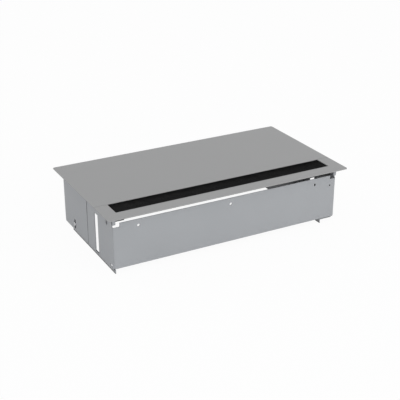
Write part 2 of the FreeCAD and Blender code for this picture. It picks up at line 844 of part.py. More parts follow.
def make_pads():
    first = lid_front + bumper_inset
    last = skirt_back - bumper_inset
    half = pad_side / 2
    bumpers = []
    for number in range(2 * BUMPER_ROWS):
        x = bar_side * (-1, 1)[number % 2]
        y = first + (last - first) * (number // 2 / (BUMPER_ROWS - 1))
        bumpers.append(block(f"bumper_{number + 1}", (x - half, x + half), (y - half, y + half),
                             (frame_top, cover_under - bumper_clearance)))
    group("lid_bumpers", bumpers)
    y = (front + flange_inset + inner_front + flange_overlap) / 2
    pads = []
    for number in range(STRIP_PADS):
        x = cover_side * ((number + 0.5) / STRIP_PADS * 2 - 1)
        pads.append(block(f"strip_pad_{number + 1}", (x - half, x + half), (y - half, y + half),
                          (frame_top, cover_under)))
    group("strip_pads", pads)


# Lid with its stiffeners

def make_lid():
    body = new_body("lid")
    outline = rectangle(both(cover_side), (lid_front, leaf_edge))
    pad(body, "plate", "z", cover_under, top, [outline])
    round_edges(body, "corners", cover_corner, "z", (-cover_side, leaf_edge), (cover_side, leaf_edge))
    half = skirt_side - stiffener_end_gap
    start = lid_front + stiffener_setback
    end = start + stiffener_width
    sheet_under = cover_under - stiffener_sheet
    angle = new_body("lid_stiffener")
    profile = [(start, cover_under - stiffener_height), (start + stiffener_sheet,
               cover_under - stiffener_height), (start + stiffener_sheet, sheet_under),
               (end, sheet_under), (end, cover_under), (start, cover_under)]
    pad(angle, "angle", "x", *both(half), [profile])
    ribs = new_body("lid_ribs_section")
    pieces.pop("lid_ribs_section")
    crown = rib_crown / 2
    brim = rib_width / 2
    foot = cover_under - rib_height
    hat = [(-brim, cover_under), (-brim, sheet_under), (-crown - stiffener_sheet, sheet_under),
           (-crown - stiffener_sheet, foot), (crown + stiffener_sheet, foot),
           (crown + stiffener_sheet, sheet_under), (brim, sheet_under), (brim, cover_under),
           (crown, cover_under), (crown, foot + stiffener_sheet), (-crown, foot + stiffener_sheet),
           (-crown, cover_under)]
    pad(ribs, "hat", "y", end, leaf_edge - rib_rear_gap, [hat])
    copies = []
    for number, sign in enumerate((-1, 1), start=1):
        copy = doc.addObject("Part::Compound", f"lid_rib_{number}")
        copy.Links = [ribs]
        bind(copy, "Placement.Base.x", plate_width * (RIB_SHARE * sign))
        copies.append(copy)
    group("lid_ribs", copies)


# Continuous hinge: knuckles curled from the two leaves take turns along one pin

def make_leaf(node, low, high, first):
    """A hinge leaf between two levels; first is the place of its first knuckle in the row."""
    body = new_body(node)
    half = cover_side - hinge_end_gap
    pitch = half / KNUCKLE_PAIRS
    start = leaf_edge - leaf_width
    pad(body, "plate", "x", *both(half), [rectangle((start, leaf_edge), (low, high))])
    knuckle_low = pitch * first - half + knuckle_gap / 2
    knuckle_high = knuckle_low + pitch - knuckle_gap
    web = rectangle((leaf_edge - leaf_root, hinge_y - pin_radius - pin_clearance * 3), (low, high))
    root = pad(body, "knuckle_root", "x", knuckle_low, knuckle_high, [web])
    centre = (hinge_y, hinge_z)
    barrel = pad(body, "barrel", "x", knuckle_low, knuckle_high,
                 circles=[(centre, barrel_radius), (centre, pin_radius + pin_clearance)])
    pattern = body.newObject("PartDesign::LinearPattern", f"{node}_knuckles")
    pattern.Originals = [root, barrel]
    axis = next(item for item in body.Origin.OriginFeatures if item.Role == "X_Axis")
    pattern.Direction = (axis, [""])
    bind(pattern, "Length", pitch * (2 * (KNUCKLE_PAIRS - 1)))
    pattern.Occurrences = KNUCKLE_PAIRS
    body.Tip = pattern
    return body


def make_hinge():
    make_leaf("hinge_leaf_lid", cover_under - leaf_sheet, cover_under, 1)
    make_leaf("hinge_leaf_frame", frame_top, frame_top + leaf_sheet, 0)
    half = cover_side - hinge_end_gap
    keep(rod("hinge_pin_rod", "x", (-half, hinge_y, hinge_z), pin_radius, half * 2), "hinge_pin")


# Socket block

def make_housing():
    body = new_body("socket_housing")
    ceiling = block_top - housing_wall
    floor = block_foot + housing_wall
    seat = block_front + face_thickness
    seat_end = seat + ledge
    profile = [(block_front, block_foot), (block_back, block_foot), (block_back, block_top),
               (block_front, block_top), (block_front, ceiling), (seat, ceiling),
               (seat, ceiling - ledge), (seat_end, ceiling - ledge), (seat_end, ceiling),
               (block_back - housing_wall, ceiling), (block_back - housing_wall, floor),
               (seat_end, floor), (seat_end, floor + ledge), (seat, floor + ledge),
               (seat, floor), (block_front, floor)]
    pad(body, "profile", "x", block_left, block_right, [profile])
    return body


def make_cap(node, inner, outer, inlet):
    """End cap between the housing and a carrier plate, with ears for its screws."""
    body = new_body(node)
    low, high = sorted((inner, outer), key=float)
    slab = rectangle((block_front, block_back), (block_foot, block_top))
    pad(body, "slab", "x", low, high, [slab])
    round_edges(body, "corners", cap_corner, "x", (block_back, block_foot), (block_back, block_top))
    ears = rectangle((cap_ear_front, cap_ear_back),
                     (block_foot - cap_ear_height, block_top + cap_ear_height))
    pad(body, "ears", "x", low, high, [ears])
    away = -1 if inner.value > outer.value else 1
    plug_low, plug_high = sorted((inner, inner - cap_plug * away), key=float)
    rim = housing_wall + ledge + fit_clearance
    plug = rectangle((block_front, block_back - housing_wall - fit_clearance),
                     (block_foot + rim, block_top - rim))
    pad(body, "plug", "x", plug_low, plug_high, [plug])
    loops = cap_screw_holes()
    if inlet:
        loops += [rectangle((inlet_middle() - inlet_width / 2, inlet_middle() + inlet_width / 2),
                            (block_middle - inlet_height / 2, block_middle + inlet_height / 2))]
    bore_low = min(low, plug_low, key=float) - OVERCUT
    bore_high = max(high, plug_high, key=float) + OVERCUT
    pocket(body, "holes", "x", bore_low, bore_high, loops)
    return body


def make_cap_screws():
    screws = []
    length = cap_thickness + carrier_sheet
    number = 0
    for face, outward in ((block_left, 1), (block_right, -1)):
        for y, z in cap_screw_places():
            number += 1
            screws.append(screw(f"cap_screw_{number}", (face, y, z), outward, screw_radius,
                                screw_head_radius, screw_head_height, length, hexagon, octagon))
    group("cap_screws", screws)


def module_middle(place):
    return modules_left + module_pitch * (place + 0.5)


def face_plate(name, x):
    """The front plate of a module; it fills the housing's open side and rests on its ledges."""
    half = module_pitch / 2 - fit_clearance / 2
    tall = block_height / 2 - housing_wall - fit_clearance
    return block(name, (x - half, x + half), (block_front, block_front + face_thickness),
                 (block_middle - tall, block_middle + tall))


def make_socket(number, x):
    node = f"socket_insert_{number}"
    plate = face_plate(f"{node}_plate", x)
    cup_length = well_depth + well_floor
    half = well_radius + well_wall
    cup = block(f"{node}_cup", (x - half, x + half), (block_front, block_front + cup_length),
                (block_middle - half, block_middle + half))
    well = rod(f"{node}_well", "y", (x, block_front, block_middle), well_radius, well_depth)
    floor = block_front + cup_length
    holes = [octagon(f"{node}_hole_{side}", "y", (x + contact_pitch * share, block_front,
                                                  block_middle), contact_hole_radius, cup_length)
             for side, share in (("line", -0.5), ("neutral", 0.5))]
    slot_half = clip_width / 2 + clip_slot_clearance
    clip_outer = well_radius - clip_inset + clip_slot_clearance
    clip_inner = well_radius - clip_inset - clip_thickness - clip_slot_clearance
    slots = [block(f"{node}_clip_slot_{side}", (x - slot_half, x + slot_half),
                   (floor - well_floor, floor), sorted_span(block_middle, clip_inner * sign,
                                                            clip_outer * sign))
             for side, sign in (("upper", 1), ("lower", -1))]
    shell = cut(f"{node}_shell", fuse(f"{node}_blank", plate, cup), well, *holes, *slots)
    rib = guide_rib_width / 2
    reach = well_radius + well_wall / 2
    ribs = [block(f"{node}_rib_{side}", sorted_span(x, reach * sign,
                                                    (well_radius - guide_rib_height) * sign),
                  (block_front + face_thickness, floor - well_floor),
                  (block_middle - rib, block_middle + rib))
            for side, sign in (("left", -1), ("right", 1))]
    keep(fuse(f"{node}_solid", shell, *ribs), node)


def make_contacts(xs):
    """Line and neutral bars with a sleeve for each pin, and the earth bar with its clips."""
    first, last = xs[0], xs[-1]
    sleeve_front = block_front + well_depth + well_floor
    bar_front = sleeve_front + sleeve_length - bar_thickness
    bar_back = bar_front + bar_thickness
    for name, share, lift in (("line", -0.5, 1), ("neutral", 0.5, -1)):
        shift = contact_pitch * share
        bore = sleeve_bore / 2
        outside = bore + sleeve_wall
        span = (first + shift - outside, last + shift + outside)
        middle = block_middle + bar_offset * lift
        strip = block(f"{name}_strip", span, (bar_front, bar_back),
                      (middle - bar_height / 2, middle + bar_height / 2))
        sleeves = []
        bores = []
        for number, x in enumerate(xs, start=1):
            middle_x = x + shift
            sleeves.append(block(f"{name}_tab_{number}", (middle_x - bore, middle_x + bore),
                                 (bar_front, bar_back),
                                 sorted_span(block_middle, 0, bar_offset * lift)))
            sleeves.append(block(f"{name}_sleeve_{number}", (middle_x - outside, middle_x + outside),
                                 (sleeve_front, bar_back),
                                 (block_middle - outside, block_middle + outside)))
            bores.append(block(f"{name}_bore_{number}", (middle_x - bore, middle_x + bore),
                               (sleeve_front, bar_back),
                               (block_middle - bore, block_middle + bore)))
        keep(cut(f"{name}_bar_solid", fuse(f"{name}_bar_blank", strip, *sleeves), *bores),
             f"bus_bar_{name}")
    earth_front = bar_back + bar_thickness * 2
    link_front = earth_front - clip_thickness
    clip_front = block_front + clip_recess
    outer = well_radius - clip_inset
    inner = outer - clip_thickness
    earth = [block("earth_strip", (first - bar_height, last + bar_height),
                   (earth_front, earth_front + bar_thickness),
                   (block_middle - bar_height / 2, block_middle + bar_height / 2))]
    for number, x in enumerate(xs, start=1):
        width = (x - clip_width / 2, x + clip_width / 2)
        for side, sign in (("upper", 1), ("lower", -1)):
            earth.append(block(f"earth_clip_{number}_{side}", width, (clip_front, earth_front),
                               sorted_span(block_middle, inner * sign, outer * sign)))
        earth.append(block(f"earth_link_{number}", width, (link_front, earth_front),
                           (block_middle - outer, block_middle + outer)))
    keep(fuse("earth_bar_solid", *earth), "earth_bar")


def make_data_insert(number, x, first_jack):
    node = f"data_insert_{number}"
    plate = face_plate(f"{node}_plate", x)
    half = jack_width / 2
    tall = jack_height / 2
    windows = []
    for index, sign in enumerate((-1, 1)):
        middle = x + jack_spacing / 2 * sign
        edge = half + fit_clearance
        reach = tall + fit_clearance
        windows.append(block(f"{node}_window_{index}", (middle - edge, middle + edge),
                             (block_front, block_front + face_thickness),
                             (block_middle - reach, block_middle + reach)))
        make_jack(first_jack + index, middle)
    keep(cut(f"{node}_solid", plate, *windows), node)


def make_jack(number, x):
    node = f"data_jack_{number}"
    half = jack_width / 2
    tall = jack_height / 2
    shell = block(f"{node}_shell", (x - half, x + half), (block_front, block_front + jack_depth),
                  (block_middle - tall, block_middle + tall))
    port = block(f"{node}_port", (x - port_width / 2, x + port_width / 2),
                 (block_front, block_front + port_depth),
                 (block_middle - port_height / 2, block_middle + port_height / 2))
    foot = block_middle - port_height / 2
    latch = block(f"{node}_latch", (x - latch_width / 2, x + latch_width / 2),
                  (block_front, block_front + port_depth), (foot - latch_height, foot))
    keep(cut(f"{node}_solid", shell, port, latch), node)


def make_blank(x):
    half = module_pitch / 2 - face_thickness
    tall = block_height / 2 - housing_wall - face_thickness
    plate = face_plate("blank_plate", x)
    box = block("blank_box", (x - half, x + half), (block_front, block_front + face_thickness * 2),
                (block_middle - tall, block_middle + tall))
    hollow = block("blank_hollow", (x - half + housing_wall, x + half - housing_wall),
                   (block_front + housing_wall, block_front + face_thickness * 2),
                   (block_middle - tall + housing_wall, block_middle + tall - housing_wall))
    keep(cut("blank_solid", fuse("blank_body", plate, box), hollow), "blank_insert")


def make_inlet():
    middle = inlet_middle()
    low = block_right - inlet_root
    high = right_carrier_face + carrier_sheet + inlet_stand
    half = inlet_width / 2
    tall = inlet_height / 2
    shell = block("inlet_shell", (low, high), (middle - half, middle + half),
                  (block_middle - tall, block_middle + tall))
    floor = high - inlet_socket_depth
    hollow = block("inlet_hollow", (floor, high),
                   (middle - half + inlet_wall, middle + half - inlet_wall),
                   (block_middle - tall + inlet_wall, block_middle + tall - inlet_wall))
    keep(cut("inlet_solid", shell, hollow), "mains_inlet")
    pins = []
    for number, step in enumerate((-1, 0, 1), start=1):
        level = block_middle + inlet_pin_pitch * step
        pins.append(block(f"inlet_pin_{number}", (floor, floor + inlet_pin_length),
                          (middle - inlet_pin_width / 2, middle + inlet_pin_width / 2),
                          (level - inlet_pin_thickness / 2, level + inlet_pin_thickness / 2)))
    group("inlet_pins", pins)


def make_earth_terminal():
    z = panel_bottom + earth_stud_lift
    keep(rod("earth_stud_rod", "y", (0.0, inner_back - earth_stud_length, z), bolt_radius,
             earth_stud_length), "earth_stud")
    washer_low = inner_back - washer_thickness
    disc = rod("earth_washer_disc", "y", (0.0, washer_low, z), washer_radius, washer_thickness)
    bore = rod("earth_washer_bore", "y", (0.0, washer_low, z), bolt_radius + fit_clearance,
               washer_thickness)
    keep(cut("earth_washer_solid", disc, bore), "earth_washer")
    nut_low = washer_low - bolt_nut_height
    nut = hexagon("earth_nut_prism", "y", (0.0, nut_low, z), bolt_nut_radius, bolt_nut_height)
    thread = rod("earth_nut_thread", "y", (0.0, nut_low, z), bolt_radius + fit_clearance,
                 bolt_nut_height)
    keep(cut("earth_nut_solid", nut, thread), "earth_nut")


def make_socket_block():
    make_housing()
    make_cap("end_cap_left", block_left, left_carrier_face, False)
    make_cap("end_cap_right", block_right, right_carrier_face, True)
    make_cap_screws()
    sockets = [module_middle(place) for place in range(SOCKETS)]
    for number, x in enumerate(sockets, start=1):
        make_socket(number, x)
    make_contacts(sockets)
    for number in range(DATA_INSERTS):
        make_data_insert(number + 1, module_middle(SOCKETS + number), 2 * number + 1)
    make_blank(module_middle(MODULES - 1))
    make_inlet()


make_flange_frame()
make_front_shell()
make_side_wall("side_wall_left", -1)
make_side_wall("side_wall_right", 1)
make_rear_shell()
make_left_carrier()
make_right_carrier()
make_front_strip()
make_strip_fixings()
make_bracket("strip_bracket_left", -1)
make_bracket("strip_bracket_right", 1)
make_case_screws()
make_brush()
make_pads()
make_lid()
make_hinge()
make_socket_block()
make_earth_terminal()
doc.recompute()

# Checks on the whole document, then one STEP file for each piece

failed = [item.Name for item in doc.Objects if {"Invalid", "Error"} & set(item.State)]
if failed:
    raise RuntimeError(f"features failed: {failed}")
for feature, base in cuts:
    if feature.Shape.Volume > base.Shape.Volume - 1e-3:
        raise RuntimeError(f"{feature.Name} removes nothing")
for node, thing in pieces.items():
    if thing.Shape.isNull() or not thing.Shape.isValid():
        raise RuntimeError(f"{node} has no valid shape")

os.makedirs("parts", exist_ok=True)
for node, thing in pieces.items():
    thing.Shape.exportStep(f"parts/{node}.step")
print(len(pieces), "pieces")
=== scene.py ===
import json
import math
import random

import bmesh
import bpy
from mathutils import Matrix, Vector


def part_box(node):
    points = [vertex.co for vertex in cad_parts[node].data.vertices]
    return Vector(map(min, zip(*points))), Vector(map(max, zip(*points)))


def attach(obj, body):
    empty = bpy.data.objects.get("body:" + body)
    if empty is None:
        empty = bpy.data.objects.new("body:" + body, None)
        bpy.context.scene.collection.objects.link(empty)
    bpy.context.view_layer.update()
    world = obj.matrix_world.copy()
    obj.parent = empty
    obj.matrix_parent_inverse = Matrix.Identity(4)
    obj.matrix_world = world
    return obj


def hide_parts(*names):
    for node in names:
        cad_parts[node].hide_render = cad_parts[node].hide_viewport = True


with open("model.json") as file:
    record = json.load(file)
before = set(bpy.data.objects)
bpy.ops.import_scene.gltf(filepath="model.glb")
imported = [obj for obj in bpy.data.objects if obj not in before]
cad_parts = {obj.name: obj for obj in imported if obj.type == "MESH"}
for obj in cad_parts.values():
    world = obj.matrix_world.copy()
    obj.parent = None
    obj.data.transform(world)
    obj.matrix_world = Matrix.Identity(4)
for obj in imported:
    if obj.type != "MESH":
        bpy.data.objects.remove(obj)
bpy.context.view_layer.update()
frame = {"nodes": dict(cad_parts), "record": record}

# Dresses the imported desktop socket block: procedural materials for every CAD node, and finer
# pieces where the CAD has plain stand-ins. All lengths are in metres, in the CAD's own frame.

MM = 0.001


def add_object(name, data):
    made = bpy.data.objects.new(name, data)
    bpy.context.scene.collection.objects.link(made)
    return made


# Material helpers

RAY_SAMPLES = 6
NOISE_MIDDLE = (0.3, 0.7)
# Painted crevice shade: how open a point must be to keep its colour, and the darkest share of it.
CREVICE_SHADE_OPENNESS = (0.75, 0.99)
CREVICE_SHADE_DARKEST = 0.1


class Shader:
    """A Principled material with object coordinates and short calls for its nodes."""

    def __init__(self, name):
        self.material = bpy.data.materials.new(name)
        self.material.use_nodes = True
        self.tree = self.material.node_tree
        self.surface = self.tree.nodes["Principled BSDF"]
        self.place = self.add("ShaderNodeTexCoord").outputs["Object"]

    def add(self, kind, **values):
        node = self.tree.nodes.new(kind)
        for name, value in values.items():
            setattr(node, name, value)
        return node

    def join(self, source, target):
        self.tree.links.new(source, target)

    def constant(self, **values):
        """Plain values go straight on the surface's own sockets."""
        for name, value in values.items():
            self.surface.inputs[name.replace("_", " ")].default_value = value

    def stretched(self, stretch):
        mapping = self.add("ShaderNodeMapping")
        mapping.inputs["Scale"].default_value = stretch
        self.join(self.place, mapping.inputs["Vector"])
        return mapping.outputs["Vector"]

    def noise(self, grains_per_metre, detail, roughness=0.5, stretch=None):
        noise = self.add("ShaderNodeTexNoise")
        noise.inputs["Scale"].default_value = grains_per_metre
        noise.inputs["Detail"].default_value = detail
        noise.inputs["Roughness"].default_value = roughness
        self.join(self.stretched(stretch) if stretch else self.place, noise.inputs["Vector"])
        return noise.outputs["Fac"]

    def spread(self, source, low, high, taken=NOISE_MIDDLE):
        """Map a source's range, a noise's middle by default, onto low to high."""
        ranged = self.add("ShaderNodeMapRange")
        ranged.inputs["From Min"].default_value = taken[0]
        ranged.inputs["From Max"].default_value = taken[1]
        ranged.inputs["To Min"].default_value = low
        ranged.inputs["To Max"].default_value = high
        self.join(source, ranged.inputs["Value"])
        return ranged.outputs["Result"]

    def colour(self, source, dark, light, taken=NOISE_MIDDLE):
        """Map a source's range onto the surface's colour."""
        ramp = self.add("ShaderNodeValToRGB")
        for stop, place, shown in zip(ramp.color_ramp.elements, taken, (dark, light)):
            stop.position = place
            stop.color = (*shown, 1)
        self.join(source, ramp.inputs["Fac"])
        self.join(ramp.outputs["Color"], self.surface.inputs["Base Color"])

    def multiply(self, share):
        """Multiply the colour made so far by a share."""
        base = self.surface.inputs["Base Color"]
        source = base.links[0].from_socket
        blend = self.add("ShaderNodeMix", data_type="RGBA", blend_type="MULTIPLY")
        blend.inputs["Factor"].default_value = 1.0
        self.join(source, blend.inputs["A"])
        self.join(share, blend.inputs["B"])
        self.join(blend.outputs["Result"], base)

    def paint_crevice_shade(self, reach):
        """Painted shade: darken the colour where faces within reach close a point in, the way
        shade falls in crevices.
        """
        closed = self.add("ShaderNodeAmbientOcclusion", samples=RAY_SAMPLES)
        closed.inputs["Distance"].default_value = reach
        self.multiply(self.spread(closed.outputs["AO"], CREVICE_SHADE_DARKEST, 1.0, CREVICE_SHADE_OPENNESS))

    def rough(self, source, low, high):
        self.join(self.spread(source, low, high), self.surface.inputs["Roughness"])

    def relief(self, source, depth, normal):
        """A bump on top of a normal, whose full range is a real depth."""
        bump = self.add("ShaderNodeBump")
        bump.inputs["Strength"].default_value = 1.0
        bump.inputs["Distance"].default_value = depth
        self.join(source, bump.inputs["Height"])
        self.join(normal, bump.inputs["Normal"])
        return bump.outputs["Normal"]

    def soft_edge(self, radius):
        """Normals that turn over a sheet's edge, as paint and a deburred edge do."""
        bevel = self.add("ShaderNodeBevel", samples=RAY_SAMPLES)
        bevel.inputs["Radius"].default_value = radius
        return bevel.outputs["Normal"]

    def finish(self, normal=None):
        if normal:
            self.join(normal, self.surface.inputs["Normal"])
        return self.material


def shade(colour, factor):
    return tuple(part * factor for part in colour)


# Materials

FLECK_SHARE = 0.35
CLOUD_SHARE = (0.15, 0.5)
COAT_EDGE = 0.5 * MM
PEEL_DEPTH = 0.03 * MM
FLECK_DEPTH = 0.006 * MM
ALONG_X = (0.02, 1.0, 1.0)
METAL_EDGE = 0.2 * MM
PLATED_EDGE = 0.15 * MM
PLATED_DEPTH = 0.01 * MM
MOULDED_EDGE = 0.3 * MM
RUBBER_DEPTH = 0.03 * MM
ALONG_Y = (1.0, 0.03, 1.0)
TIP_PAINTED_SHADE = 0.2


def powder_coat(name, colour, crevice_shade_reach=0):
    """Satin coat: fine orange peel, faint clouds in tone and gloss, painted shade in crevices
    where asked.
    """
    coat = Shader(name)
    cloud = coat.noise(9.0, detail=3.0)
    fleck = coat.noise(2600.0, detail=1.0)
    tone = coat.add("ShaderNodeMath", operation="MULTIPLY_ADD")
    coat.join(fleck, tone.inputs[0])
    tone.inputs[1].default_value = FLECK_SHARE
    coat.join(coat.spread(cloud, *CLOUD_SHARE), tone.inputs[2])
    coat.colour(tone.outputs[0], shade(colour, 0.965), shade(colour, 1.035), taken=(0.2, 0.8))
    # Painted shade: the colour darkens in seams, slots and gaps within the reach.
    if crevice_shade_reach:
        coat.paint_crevice_shade(crevice_shade_reach)
    coat.rough(cloud, 0.44, 0.52)
    coat.constant(Metallic=0.0, Specular_IOR_Level=0.4)
    edge = coat.soft_edge(COAT_EDGE)
    peel = coat.relief(coat.noise(750.0, detail=1.5), PEEL_DEPTH, edge)
    return coat.finish(coat.relief(fleck, FLECK_DEPTH, peel))


def brushed(name, colour, rough=0.34, strokes=5200.0, depth=0.004 * MM):
    """Drawn or rolled metal: fine lines along X."""
    metal = Shader(name)
    lines = metal.noise(strokes, detail=3.0, roughness=0.7, stretch=ALONG_X)
    cloud = metal.noise(60.0, detail=3.0)
    metal.colour(lines, shade(colour, 0.88), shade(colour, 1.08))
    metal.rough(cloud, rough - 0.05, rough + 0.08)
    metal.constant(Metallic=1.0)
    return metal.finish(metal.relief(lines, depth, metal.soft_edge(METAL_EDGE)))


def plated(name, colour, rough=0.3):
    """Small turned or pressed hardware with a mottled plating."""
    metal = Shader(name)
    mottle = metal.noise(1400.0, detail=4.0, roughness=0.6)
    metal.colour(mottle, shade(colour, 0.8), shade(colour, 1.1))
    metal.rough(mottle, rough - 0.06, rough + 0.12)
    metal.constant(Metallic=1.0)
    return metal.finish(metal.relief(mottle, PLATED_DEPTH, metal.soft_edge(PLATED_EDGE)))


def moulded(name, colour, rough=0.46, depth=0.012 * MM, sheen=0.35):
    """Injection-moulded plastic with a fine spark-eroded grain."""
    plastic = Shader(name)
    grain = plastic.noise(2200.0, detail=3.0, roughness=0.6)
    cloud = plastic.noise(45.0, detail=2.0)
    plastic.colour(cloud, shade(colour, 0.92), shade(colour, 1.1))
    plastic.rough(grain, rough - 0.05, rough + 0.07)
    plastic.constant(Metallic=0.0, Specular_IOR_Level=sheen)
    return plastic.finish(plastic.relief(grain, depth, plastic.soft_edge(MOULDED_EDGE)))


def rubber(name, colour):
    """Dull rubber with a slight dusty mottle."""
    soft = Shader(name)
    dust = soft.noise(320.0, detail=5.0, roughness=0.65)
    soft.colour(dust, colour, shade(colour, 1.9), taken=(0.35, 0.75))
    soft.rough(dust, 0.72, 0.88)
    soft.constant(Metallic=0.0, Specular_IOR_Level=0.25)
    return soft.finish(soft.relief(dust, RUBBER_DEPTH, soft.soft_edge(MOULDED_EDGE)))


def nylon(name, colour, root, tip):
    """Bristles: each a little lighter or darker than the next, with painted shade that darkens
    them from root to tip, towards the lid.
    """
    fibre = Shader(name)
    streak = fibre.noise(2100.0, detail=2.0, roughness=0.7, stretch=ALONG_Y)
    fibre.colour(streak, shade(colour, 0.5), shade(colour, 2.2))
    apart = fibre.add("ShaderNodeSeparateXYZ")
    fibre.join(fibre.place, apart.inputs["Vector"])
    # Painted shade: the colour falls to a fifth from root to tip, where the lid's edge shades the
    # bristles.
    fibre.multiply(fibre.spread(apart.outputs["Y"], 1.0, TIP_PAINTED_SHADE, taken=(root, tip)))
    fibre.rough(streak, 0.5, 0.7)
    fibre.constant(Metallic=0.0, Specular_IOR_Level=0.05)
    return fibre.finish()


MATERIALS = {
    "cover_grey": (powder_coat, dict(colour=(0.345, 0.345, 0.346))),
    # The case's coat has painted shade in its seams, slots and gaps.
    "case_grey": (powder_coat, dict(colour=(0.352, 0.361, 0.376), crevice_shade_reach=3.5 * MM)),
    # Painted shade: the case-grey brackets get a near-black coat for the shade in the gap under
    # the strip.
    "bracket_dark": (powder_coat, dict(colour=(0.022, 0.022, 0.024))),
    "zinc": (plated, dict(colour=(0.56, 0.56, 0.57))),
    "hinge_steel": (brushed, dict(colour=(0.42, 0.42, 0.43))),
    "rail_aluminium": (brushed, dict(
        colour=(0.2, 0.2, 0.21), rough=0.4, strokes=4200.0, depth=0.01 * MM)),
    "housing_aluminium": (brushed, dict(
        colour=(0.6, 0.61, 0.62), rough=0.36, strokes=3600.0, depth=0.01 * MM)),
    # The bristles' painted shade runs between the root and tip places.
    "bristle": (nylon, dict(colour=(0.017, 0.017, 0.0173), root=-110.0 * MM, tip=-74.0 * MM)),
    "rubber": (rubber, dict(colour=(0.02, 0.02, 0.02))),
    "black_plastic": (moulded, dict(colour=(0.022, 0.022, 0.024))),
    "socket_plastic": (moulded, dict(
        colour=(0.03, 0.03, 0.032), rough=0.4, depth=0.008 * MM, sheen=0.45)),
    "jack_plastic": (moulded, dict(
        colour=(0.05, 0.05, 0.055), rough=0.36, depth=0.004 * MM, sheen=0.45)),
    "brass": (plated, dict(colour=(0.72, 0.53, 0.24), rough=0.28)),
    "contact_steel": (plated, dict(colour=(0.66, 0.64, 0.6), rough=0.26)),
    "contact_gold": (plated, dict(colour=(0.86, 0.62, 0.28), rough=0.2)),
}


def make_materials():
    return {name: maker(name, **values) for name, (maker, values) in MATERIALS.items()}


def dress_nodes(materials):
    """Nodes take the material of their slot in the record, the strip's brackets a near-black coat
    that paints the shade in the gap under the strip.
    """
    for part in frame["record"]["subparts"]:
        node = part["node"]
        # The brackets' near-black coat is painted shade, not their record slot's grey.
        chosen = "bracket_dark" if node.startswith("strip_bracket") else part["material_slot"]
        mesh_slots = frame["nodes"][node].data.materials
        mesh_slots.clear()
        mesh_slots.append(materials[chosen])


# Mesh helpers

def new_piece(name, vertices, faces, smooth, material):
    """A piece of its own that rides on the box, with its faces turned outwards."""
    mesh = bpy.data.meshes.new(name)
    mesh.from_pydata(vertices, [], faces)
    work = bmesh.new()
    work.from_mesh(mesh)
    bmesh.ops.recalc_face_normals(work, faces=work.faces)
    for face in work.faces:
        face.smooth = smooth
    work.to_mesh(mesh)
    work.free()
    mesh.materials.append(material)
    piece = add_object(name, mesh)
    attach(piece, "box")
    return piece


def add_rings(faces, start, rings, sides):
    """The faces of a closed solid whose rings of vertices follow each other from start."""
    last = start + (rings - 1) * sides
    for ring in range(start, last, sides):
        for side in range(sides):
            here = ring + side
            beside = ring + (side + 1) % sides
            faces.append((here, beside, beside + sides, here + sides))
    faces.append(tuple(range(start, start + sides)))
    faces.append(tuple(range(last, last + sides)))


STRAND_SIDES = 3


def add_strand(vertices, faces, points, radius):
    """A thin prism along a line that runs mostly along Y."""
    start = len(vertices)
    for point in points:
        for side in range(STRAND_SIDES):
            angle = math.tau * side / STRAND_SIDES
            vertices.append(point + Vector((math.cos(angle), 0, math.sin(angle))) * radius)
    add_rings(faces, start, len(points), STRAND_SIDES)


# Brush: bristles gripped by the rail's channel rise into the slot and reach back to the lid

BRISTLE_SEED = 41
BRISTLE_STEP = 0.37 * MM
BRISTLE_PLACE = (0.2, 0.8)
BRISTLE_RADIUS = 0.2 * MM
BRISTLE_LAYERS = 8
BRISTLE_RISE = 8.0 * MM
LOOSE_LAYERS = 4
LOOSE_FAN = 0.3 * MM
CLOSE_FAN = 0.08 * MM
CREST_SHARE = 0.2
TIP_SHORT = 0.25 * MM
TIP_STRAY = (-0.06 * MM, 0.3 * MM)
RAIL_LIP = 1.4 * MM
LID_CLEARANCE = 0.4 * MM


def make_bristles(material):
    """Rows of bristles, closest together at the top, which end just short of the lid."""
    low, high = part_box("brush_bristles")
    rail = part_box("brush_rail")[1]
    left = low.x + BRISTLE_RADIUS
    right = high.x - BRISTLE_RADIUS
    foot = low.z + BRISTLE_RADIUS
    grip = rail.z - RAIL_LIP - BRISTLE_RADIUS
    crest = high.z - BRISTLE_RADIUS
    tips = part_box("lid")[0].y - LID_CLEARANCE
    draw = random.Random(BRISTLE_SEED)
    vertices = []
    faces = []
    for layer in range(BRISTLE_LAYERS):
        fan = LOOSE_FAN if layer < LOOSE_LAYERS else CLOSE_FAN
        for number in range(int((right - left) / BRISTLE_STEP)):
            x = left + (number + draw.uniform(*BRISTLE_PLACE)) * BRISTLE_STEP
            share = 1 - ((layer + draw.random()) / BRISTLE_LAYERS) ** 2
            held = foot + (grip - foot) * share
            risen = foot + (crest - foot) * share
            side = max(left - x, min(right - x, draw.gauss(0, fan)))
            tip_y = tips - abs(draw.gauss(0, TIP_SHORT))
            tip_z = max(foot, risen + draw.uniform(*TIP_STRAY))
            line = [Vector((x, low.y, held)),
                    Vector((x, rail.y, held)),
                    Vector((x + side * CREST_SHARE, rail.y + BRISTLE_RISE, risen)),
                    Vector((x + side, tip_y, tip_z))]
            add_strand(vertices, faces, line, BRISTLE_RADIUS)
    piece = new_piece("bristles", vertices, faces, True, material)
    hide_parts("brush_bristles")


# Fasteners: turned pieces with recesses, chamfers and threads in place of the CAD's plain ones.
# A profile's rows are (place along the axis, corner radius, sides), with 0 sides for a circle.

TURNED_SIDES = 48
THREAD_PITCH = 0.5 * MM
THREAD_DEPTH = 0.12 * MM
THREAD_RIDGE = ((0.05, THREAD_DEPTH), (0.5, 0), (0.95, THREAD_DEPTH))
DOME_STEPS = 6
DOME_FLAT = 0.55
DOME_RIM = 0.25
HEXAGON_RECESS = ((1.0, 1.08, 0), (0.94, 1.0, 6), (0.3, 1.0, 6), (0.2, 0.3, 0))
HEXAGON_HEAD = ((0, 1.0, 6), (0.78, 1.0, 6), (1.0, 0.84, 0))


